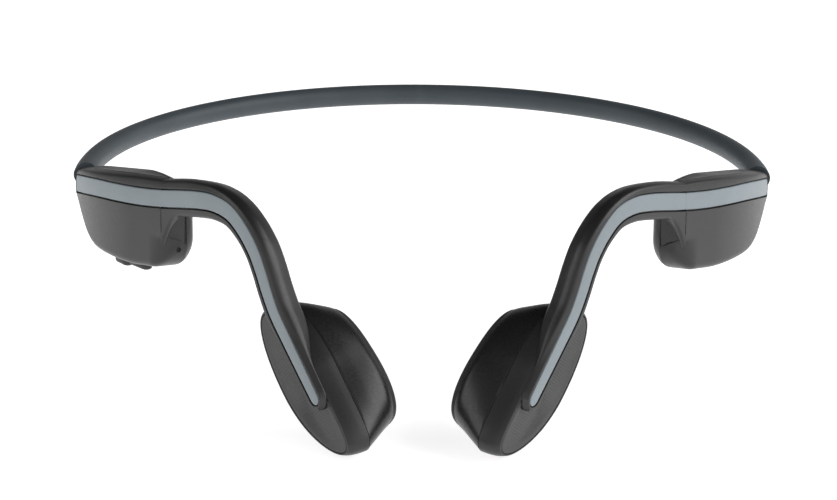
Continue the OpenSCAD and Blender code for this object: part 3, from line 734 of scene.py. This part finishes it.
def housing_stations():
    """Places along the housing, closer together at its rounded ends and either side of its end walls."""
    low, high = HOUSING_START, HOUSING_END
    rear = [low + d for d in (0, 0.02, 0.08, 0.2, 0.4, 0.7)] + [low + HOUSING_WALL, low + HOUSING_WALL + 0.01]
    front = [high - HOUSING_WALL - 0.01, high - HOUSING_WALL]
    front += [high - FRONT_CORNER * (1 - math.sin(q)) for q in spaced(0.86, PI / 2, 14)]
    return rear + spaced(low + HOUSING_WALL + 0.3, high - HOUSING_WALL - 0.3, 90) + sorted(front)


def outer_shell(side):
    obj = lofted(f"{side}_housing_outer", shell_rings(outer_side), side)
    return dressed(obj, MATERIALS["shell_plastic"], None, "shell_plastic")


def inner_side(s, inset=0.0):
    """The inner shell's section at s, from its top seam over the inner face to its bottom seam."""
    top, low = housing_edges(s)
    front, rear = HOUSING_END - s, s - HOUSING_START
    top = top - sag(s)
    depth = HOUSING_DEPTH - 0.5 * fillet(rear, 2.4) - 0.6 * fillet(front, FRONT_CORNER)
    if inset:
        return [
            (top - inset, HOUSING_PARTING, 0.02), (top - inset - 0.3, depth - inset - 0.8, 0.4),
            (top - inset - 1.3, depth - inset, 0.5), (low + inset + 1.6, depth - inset, 0.5),
            (low + inset + 0.6, depth - inset - 1, 0.5), (low + inset, HOUSING_PARTING, 0.02),
        ]  # fmt: skip
    return [
        (top - SEAM, HOUSING_PARTING, 0.02), (top, HOUSING_PARTING + SEAM, 0.05),
        (top - 0.4, depth - 1.6, 1.1), (top - 2.2, depth, 1.4),
        (low + 2.4, depth, 1.4), (low + 0.5, depth - 1.4, 1.1),
        (low, HOUSING_PARTING + SEAM, 0.05), (low + SEAM, HOUSING_PARTING, 0.02),
    ]  # fmt: skip


def inner_shell(side):
    obj = lofted(f"{side}_housing_inner", shell_rings(inner_side), side)
    return dressed(obj, MATERIALS["shell_plastic"], None, "shell_plastic")


def stadium(width, depth, count=8):
    """A slot's outline, width by depth, as (x, y) points."""
    points = []
    for sign in (1, -1):
        for q in spaced(-PI / 2, PI / 2, count):
            x = (width - depth) / 2 + depth / 2 * math.cos(q)
            points.append(Vector((sign * x, sign * depth / 2 * math.sin(q))))
    return points


def plug(name, levels, place):
    """A closed piece of stacked (outline, height) levels, where place turns x, y and height into a point."""
    return lofted(name, [[place(p.x, p.y, h) for p in outline] for outline, h in levels])


def directions(s):
    """Forward along the arm at s, in towards the head, and up, each one millimetre long."""
    q = toe_in(s)
    along = Vector((math.sin(q), -math.cos(q), 0)) * MM
    into = Vector((math.cos(q), math.sin(q), 0)) * MM
    return along, into, Vector((0, 0, MM))


def upward(s, t):
    """Places a button's outline: x along the arm at s, y in from t, height up."""
    along, into, up = directions(s)
    return lambda x, y, h: arm(s, t, 0) + along * x + into * y + up * h


def inward(s, t, z):
    """Places an outline on the inner face: x along the arm, y up, height in towards the head."""
    along, into, up = directions(s)
    return lambda x, y, h: arm(s, t, z) + along * x + up * y + into * h


def forward(s, t, z):
    """Places an outline across the arm: x in, y up, height forward."""
    along, into, up = directions(s)
    return lambda x, y, h: arm(s, t, z) + into * x + up * y + along * h


def circle(d, count=24):
    return [Vector((math.cos(q), math.sin(q))) * d / 2 for q in spaced(0, 2 * PI, count + 1)[:-1]]


OPENING_GAP = 0.24
MOUTH = (9.1, 3.4)


def volume_button(name, button):
    """A pill that stands out of the housing's bottom, with a crowned face and a flange inside."""
    w = button["width"] - 0.02
    crown = ((0.62, 0.02), (0.38, 0.06), (0.18, 0.16), (0.05, 0.34), (0, 0.6))
    levels = [(stadium(w - 2 * f, BUTTON_T - 2 * f), button["low"] + h) for f, h in crown]
    flange = stadium(w + 0.32, BUTTON_T + 0.5)
    levels += [(stadium(w, BUTTON_T), -6.6), (flange, -6.5), (flange, -6.1)]
    obj = plug(name, levels, upward(button["s"], VOLUME_T))
    dressed(obj, MATERIALS["button_silicone"], name, "button_silicone", name)


def button_opening(button):
    outline = stadium(button["width"] + OPENING_GAP, BUTTON_T + OPENING_GAP)
    return plug("opening", [(outline, -10), (outline, -5.2)], upward(button["s"], VOLUME_T))


def right_housing():
    """The wearer's right housing: controls, port and microphones are cut into its shells."""
    outer = outer_shell("right")
    mic_t, mic_z = FRONT_MIC
    low_s, low_t, low_z = LOWER_MIC
    hole, rim = circle(MIC_D), circle(MIC_D + 0.7)
    front_place, low_place = forward(HOUSING_END, mic_t, mic_z), upward(low_s, low_t)
    front_hole = plug("hole", [(hole, -2.4), (hole, -0.2), (rim, 0.15)], front_place)
    low_hole = plug("hole", [(hole, low_z + 3), (hole, low_z - 2)], low_place)
    cut(outer, button_opening(VOLUME_UP), button_opening(VOLUME_DOWN), front_hole, low_hole)
    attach(outer, "right_arm")
    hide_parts("right_housing_outer_shell")

    inner = inner_shell("right")
    port = inward(PORT_S, FLAP_FACE, PORT_Z)
    flap = stadium(FLAP_L + OPENING_GAP, FLAP_H + OPENING_GAP)
    seat = plug("seat", [(flap, -FLAP_T - 0.1), (flap, 2)], port)
    mouth = plug("mouth", [(stadium(*MOUTH), -4), (stadium(*MOUTH), 1)], port)
    light = circle(LIGHT_D + 0.1)
    lens = plug("lens", [(light, -3), (light, 1)], inward(LIGHT_S, HOUSING_DEPTH, LIGHT_Z))
    cut(inner, seat, mouth, lens)
    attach(inner, "right_arm")
    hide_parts("right_housing_inner_shell")
    volume_button("volume_up_button", VOLUME_UP)
    volume_button("volume_down_button", VOLUME_DOWN)
    port_flap(port)


def port_flap(place):
    """The charging port's soft cover: a pillowed slab with a plug behind."""
    nose, stem, slab = stadium(7.4, 1.9), stadium(7.6, 2.05), stadium(FLAP_L, FLAP_H)
    levels = [(nose, -FLAP_T - 0.5), (stem, -FLAP_T - 0.4), (stem, -FLAP_T)]
    levels += [(slab, -FLAP_T + 0.01), (slab, -0.22)]
    crown = ((0.04, -0.1), (0.14, -0.02), (0.3, 0.01), (1.2, 0.03))
    levels += [(stadium(FLAP_L - 2 * f, FLAP_H - 2 * f), h) for f, h in crown]
    obj = plug("port_flap", levels, place)
    dressed(obj, MATERIALS["button_silicone"], "port_cover", "button_silicone", "port_cover")


def left_housing():
    for made, name in ((outer_shell, "outer"), (inner_shell, "inner")):
        shell = made("left")
        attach(shell, "left_arm")
        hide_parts(f"left_housing_{name}_shell")


# ---- Pods: x across the pod, up and forward; y along it, down and forward; depth in towards the head ----
POD_POINTS = 120
# Levels as (depth, half width, half length, centre across, centre along, lean)
PANEL_LEVEL = (PANEL_TOP, POD_B - 1.3, POD_A + 0.2, -1.45, 0.7, 1)
EDGE_LEVEL = (PANEL_TOP + 0.05, POD_B - 0.8, POD_A + 0.7, -1.45, 0.7, 1)
SHOULDER_LEVEL = (2.2, POD_B - 0.45, POD_A + 1.1, -1.25, 0.8, 1)
WAIST_LEVEL = (3.6, POD_B - 0.15, POD_A + 1.3, -1, 0.85, 1)
CREASE_LEVEL = (5, POD_B, POD_A + 1.3, -0.76, 0.9, 1)
BELLY_LEVEL = (8, POD_B + 0.15, POD_A, -0.25, 0.7, 0.5)
BREAST_LEVEL = (11, POD_B + 0.1, POD_A - 1.4, 0, 0.6, 0)
SEAT_LEVEL = (PAD_SEAT, POD_B - 0.15, POD_A - 2.1, -0.1, 0.6, 0)


def in_pod(x, y, depth):
    s = POD_S + x * math.sin(POD_SLOPE) + y * math.cos(POD_SLOPE)
    z = POD_Z + x * math.cos(POD_SLOPE) - y * math.sin(POD_SLOPE)
    return arm(s, depth, z)


def pod_outline(level, inset=0.0, count=POD_POINTS, shrink=1.0):
    """A level's outline: with lean it narrows towards its lower end and curves across."""
    _, b, a, cx, cy, lean = level
    outline = superellipse((b - inset) * shrink, (a - inset) * shrink, 2.4 - 0.25 * lean, count, (0, cy))
    points = []
    for p in outline:
        narrowed = p.x * (1 - 0.012 * lean * max(0, p.y))
        shifted = lean * (0.0132 * max(0, p.y - 1) ** 2 - 0.1 * p.y)
        points.append(Vector((cx + narrowed + shifted, p.y)))
    return points


def pod_ring(level, inset=0.0, depth=None):
    depth = level[0] if depth is None else depth
    return [in_pod(p.x, p.y, depth) for p in pod_outline(level, inset)]


def between(levels, count):
    """Levels on a smooth curve through a few of them."""
    return [tuple(spline(levels, u)) for u in spaced(0, len(levels) - 1, count)]


def pod_outer(side):
    """The outer shell: a thin edge round the panel, a rounded shoulder and a crease at the inner shell."""
    edge, gap = EDGE_LEVEL, -0.1
    rings = [pod_ring(PANEL_LEVEL, gap, 2.7), pod_ring(PANEL_LEVEL, gap, PANEL_TOP + 0.06)]
    rings += [pod_ring(PANEL_LEVEL, gap - 0.04, PANEL_TOP + 0.01)]
    rings += [pod_ring(edge, 0.12, PANEL_TOP), pod_ring(edge, 0.03, PANEL_TOP + 0.06)]
    levels = between([edge, SHOULDER_LEVEL, WAIST_LEVEL, CREASE_LEVEL], 22)
    rings += [pod_ring(level) for level in levels[1:-1]]
    rings += [pod_ring(CREASE_LEVEL, 0.02, 4.93), pod_ring(CREASE_LEVEL, 0.14, 4.985)]
    rings += [pod_ring(CREASE_LEVEL, POD_WALL, 4.985), pod_ring(WAIST_LEVEL, POD_WALL)]
    obj = lofted(f"{side}_pod_outer", rings, side, wrap=True)
    dressed(obj, MATERIALS["shell_plastic"], f"{side}_arm", "shell_plastic", f"{side}_pod_outer_shell")


def pod_inner(side):
    """The inner shell: a smooth drum that draws in to the contact pad's seat."""
    levels = between([CREASE_LEVEL, BELLY_LEVEL, BREAST_LEVEL, SEAT_LEVEL], 26)
    crease = ((POD_WALL, 5.015), (0.14, 5.015), (0.02, 5.07))
    rings = [pod_ring(CREASE_LEVEL, inset, depth) for inset, depth in crease]
    rings += [pod_ring(level) for level in levels[1:-1]]
    rings += [pod_ring(SEAT_LEVEL, 0.05, PAD_SEAT - 0.12), pod_ring(SEAT_LEVEL, 0.18, PAD_SEAT)]
    rings = rings[::-1] + [pod_ring(BELLY_LEVEL, POD_WALL), pod_ring(SEAT_LEVEL, POD_WALL, PAD_SEAT - 1.2)]
    obj = lofted(f"{side}_pod_inner", rings, side)
    dressed(obj, OWN_MATERIALS["pod_inner_shells"], f"{side}_arm", "shell_plastic", f"{side}_pod_inner_shell")


PAD_INSET = 0.3
PAD_EDGE = 0.75
PAD_CROWN = 0.1


def contact_pad(side):
    """The soft pad that rests on the cheekbone, crowned a little, with a rounded edge."""
    top = POD_DEPTH
    rings = [pod_ring(SEAT_LEVEL, PAD_INSET, PAD_SEAT), pod_ring(SEAT_LEVEL, PAD_INSET, top - PAD_EDGE)]
    for q in spaced(0.2, PI / 2, 7):
        inset = PAD_INSET + PAD_EDGE * (1 - math.cos(q))
        rings.append(pod_ring(SEAT_LEVEL, inset, top - PAD_EDGE * (1 - math.sin(q)) - PAD_CROWN))
    for inset in (1.8, 2.8, 3.8, 4.8):
        rings.append(pod_ring(SEAT_LEVEL, inset, top - PAD_CROWN * (1 - inset / 5)))
    obj = lofted(f"{side}_pad", rings, side)
    dressed(obj, MATERIALS["pad_silicone"], f"{side}_arm", "pad_silicone", f"{side}_contact_pad")


PANEL_RIM = 0.42
RIB_PITCH = 0.52
RIB_HEIGHT = 0.09
RIB_SLANT = math.radians(-14)


def pod_panel(side):
    """The textured plate: fine slanting ribs inside a plain rim, and a rounded edge."""
    bm = bmesh.new()

    def ribbed(p, fade):
        """The depth at p, where the ribs rise from the rim as fade goes from 0 to 1."""
        across_ribs = p.y * math.cos(RIB_SLANT) + p.x * math.sin(RIB_SLANT)
        return PANEL_TOP + RIB_HEIGHT * fade * (0.5 - 0.5 * math.cos(2 * PI * across_ribs / RIB_PITCH))

    base = PANEL_TOP + PLATE_H
    sides = [(0.05, base), (0.0, base - 0.05)]
    sides += [(0.0, PANEL_TOP + 0.16), (0.05, PANEL_TOP + 0.05), (0.16, PANEL_TOP)]
    rings = [pod_ring(PANEL_LEVEL, inset, depth) for inset, depth in sides]
    rings += [pod_ring(PANEL_LEVEL, PANEL_RIM, PANEL_TOP)]
    rows = [[bm.verts.new(mirrored(p, side)) for p in ring] for ring in rings]
    steps = 96
    for k in range(1, steps + 1):
        shrink = 1 - k / steps
        fade = clamp((1 - shrink) * 6)
        outline = pod_outline(PANEL_LEVEL, PANEL_RIM, POD_POINTS * 3, shrink + 0.0005)
        rows.append([bm.verts.new(mirrored(in_pod(p.x, p.y, ribbed(p, fade)), side)) for p in outline])
    for a_row, b_row in zip(rows, rows[1:]):
        link(bm, a_row, b_row)
    face = bm.faces.new(rows[0])
    bmesh.ops.triangulate(bm, faces=[face])
    bmesh.ops.remove_doubles(bm, verts=bm.verts, dist=2e-6)
    return finished(f"{side}_panel", bm, math.radians(50))


def link(bm, a, b):
    """Faces between two closed rows whose point counts are equal or in a whole ratio."""
    ratio = len(b) // len(a)
    for k in range(len(a)):
        n = (k + 1) % len(a)
        run = [b[(k * ratio + j) % len(b)] for j in range(ratio + 1)]
        if ratio == 1:
            bm.faces.new((a[k], a[n], run[1], run[0]))
        else:
            bm.faces.new((a[k], a[n], *run[::-1]))


def panels():
    right = pod_panel("right")
    dressed(right, MATERIALS["panel_plastic"], "right_arm", "panel_plastic", "right_pod_panel")
    left = pod_panel("left")
    dressed(left, MATERIALS["panel_plastic"], "multifunction_button", "panel_plastic", "multifunction_button")


# ---- All the pieces ----
for side in ("right", "left"):
    neckband_half(side)
    neckband_lead(side, "neckband_wire", "spring_wire", WIRE_D, -LEAD_SHIFT, WIRE_TAIL)
    neckband_lead(side, "neckband_cable", "cable_jacket", CABLE_D, LEAD_SHIFT, CABLE_TAIL)
    inlay_strip(side)
    ear_hook(side)
    pod_outer(side)
    pod_inner(side)
    contact_pad(side)
panels()
right_housing()
left_housing()

# ---- Carried-over CAD nodes take their slot's material ----
for part in frame["record"]["subparts"]:
    obj = frame["nodes"].get(part["node"])
    if obj and not obj.hide_render:
        obj.data.materials.clear()
        obj.data.materials.append(OWN_MATERIALS.get(part["node"]) or MATERIALS[part["material_slot"]])


# ---- Floor and light ----
def floor():
    bm = bmesh.new()
    bmesh.ops.create_grid(bm, x_segments=2, y_segments=2, size=4)
    obj = finished("floor", bm)
    material = bpy.data.materials.new("pale_floor")
    material.use_nodes = True
    tree = material.node_tree
    shader = tree.nodes["Principled BSDF"]
    place = node(tree, "ShaderNodeTexCoord")
    tint = mixed(tree, noise(tree, place, 0.004, 2.0), (0.9, 0.9, 0.9), (0.93, 0.93, 0.93))
    tree.links.new(tint, shader.inputs["Base Color"])
    shader.inputs["Roughness"].default_value = 0.9
    shader.inputs["Specular IOR Level"].default_value = 0.1
    shader.inputs["Emission Color"].default_value = (1, 1, 1, 1)
    shader.inputs["Emission Strength"].default_value = 0.75
    obj.data.materials.append(material)


def softbox(name, place, aim, width, height, power):
    light = bpy.data.lights.new(name, "AREA")
    light.shape = "RECTANGLE"
    light.size, light.size_y, light.energy = width, height, power
    obj = bpy.data.objects.new(name, light)
    bpy.context.scene.collection.objects.link(obj)
    obj.location = place
    obj.rotation_euler = (Vector(aim) - Vector(place)).to_track_quat("-Z", "Y").to_euler()


def scaled_by(tree, colour, value):
    """A colour socket times a value socket."""
    product = node(tree, "ShaderNodeVectorMath", operation="MULTIPLY")
    tree.links.new(colour, product.inputs[0])
    tree.links.new(value, product.inputs[1])
    return product.outputs["Vector"]


def graded(tree, height, stops):
    """A grey that changes with height through (position, grey) stops."""
    ramp = node(tree, "ShaderNodeValToRGB")
    while len(ramp.color_ramp.elements) < len(stops):
        ramp.color_ramp.elements.new(0.5)
    for element, (position, grey) in zip(ramp.color_ramp.elements, stops):
        element.position = position
        element.color = (grey, grey, grey, 1)
    tree.links.new(height, ramp.inputs["Fac"])
    return ramp.outputs["Color"]


def studio():
    """A pale room: bright walls in front, dimmer ones behind, a dark ceiling and a softbox on each side."""
    world = bpy.data.worlds.new("studio")
    bpy.context.scene.world = world
    world.use_nodes = True
    tree = world.node_tree
    place = node(tree, "ShaderNodeTexCoord")
    split = node(tree, "ShaderNodeSeparateXYZ")
    tree.links.new(place.outputs["Generated"], split.inputs["Vector"])
    height = mapped(tree, split.outputs["Z"], 0.0, 1.0, -1.0, 1.0)
    front = graded(tree, height, ((0.0, 0.9), (0.82, 0.9), (0.92, 0.06), (1.0, 0.03)))
    side = mapped(tree, split.outputs["X"], 0.35, 0.6, -0.3, 0.9)
    low = graded(tree, height, ((0.0, 1.0), (0.68, 0.95), (0.76, 0.05), (1.0, 0.03)))
    back = scaled_by(tree, low, side)
    wall = mixed(tree, mapped(tree, split.outputs["Y"], 0.0, 1.0, -0.2, 0.3), front, back)
    background = tree.nodes["Background"]
    tree.links.new(wall, background.inputs["Color"])
    tree.links.new(mapped(tree, split.outputs["X"], 0.5, 1.3, -0.8, 0.8), background.inputs["Strength"])
    softbox("right_softbox", (1.15, -0.1, 0.86), (0, 0, 0.02), 1.1, 1.0, 9)
    softbox("left_softbox", (-1.25, -0.2, 0.7), (0, 0, 0.02), 0.9, 0.8, 3)
    bpy.context.scene.view_settings.view_transform = "Standard"


floor()
studio()
